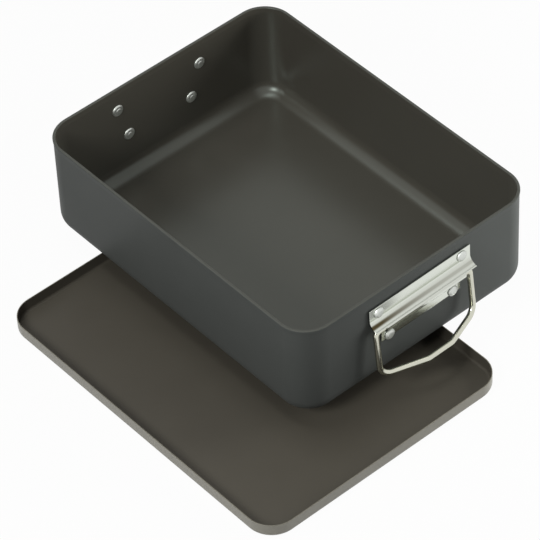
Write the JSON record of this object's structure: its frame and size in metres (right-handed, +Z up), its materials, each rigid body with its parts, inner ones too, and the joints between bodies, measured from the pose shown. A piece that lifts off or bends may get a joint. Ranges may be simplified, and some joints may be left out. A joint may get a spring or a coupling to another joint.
{
  "type": "roasting dish with lid",
  "caption": "Deep rectangular roasting dish of dark anodised aluminium with riveted fold-out wire handles, standing on its own upturned shallow lid, which doubles as a tray.",
  "frame": {"origin": "middle of the lid's flat underside, on the surface that the lid lies on", "axes": "+Z up; +X along the long side of the dish and lid, towards the front handle; +Y across, towards the side on which the dish reaches past the lid"},
  "size_m": [0.4734, 0.3911, 0.1248],
  "materials": {
    "dish": "hard anodised, dark grey, fine matt",
    "lid": "hard anodised, dark grey, fine matt",
    "bracket": "polished stainless sheet",
    "wire": "polished stainless wire",
    "rivet": "satin, as pressed"
  },
  "bodies": {
    "lid": {"lid": "lid"},
    "dish": {"pan": "dish", "front_bracket": "bracket", "rear_bracket": "bracket", "front_rivet_upper_left": "rivet", "front_rivet_upper_right": "rivet", "front_rivet_lower_left": "rivet", "front_rivet_lower_right": "rivet", "rear_rivet_upper_left": "rivet", "rear_rivet_upper_right": "rivet", "rear_rivet_lower_left": "rivet", "rear_rivet_lower_right": "rivet"},
    "front_handle": {"front_wire_handle": "wire"},
    "rear_handle": {"rear_wire_handle": "wire"}
  },
  "joints": [
    {"name": "dish_lift", "type": "slide", "parent": "lid", "child": "dish", "axis": [0, 0, 1], "range_m": [0, 0.15]},
    {"name": "front_handle_swing", "type": "hinge", "parent": "dish", "child": "front_handle", "pos_m": [0.1193, 0.1052, 0.0852], "axis": [0, -0.9998, -0.0174], "range_deg": [-8, 76]},
    {"name": "rear_handle_swing", "type": "hinge", "parent": "dish", "child": "rear_handle", "pos_m": [-0.2627, 0.1066, 0.0814], "axis": [0, 0.9998, -0.0174], "range_deg": [-8, 76]}
  ]
}
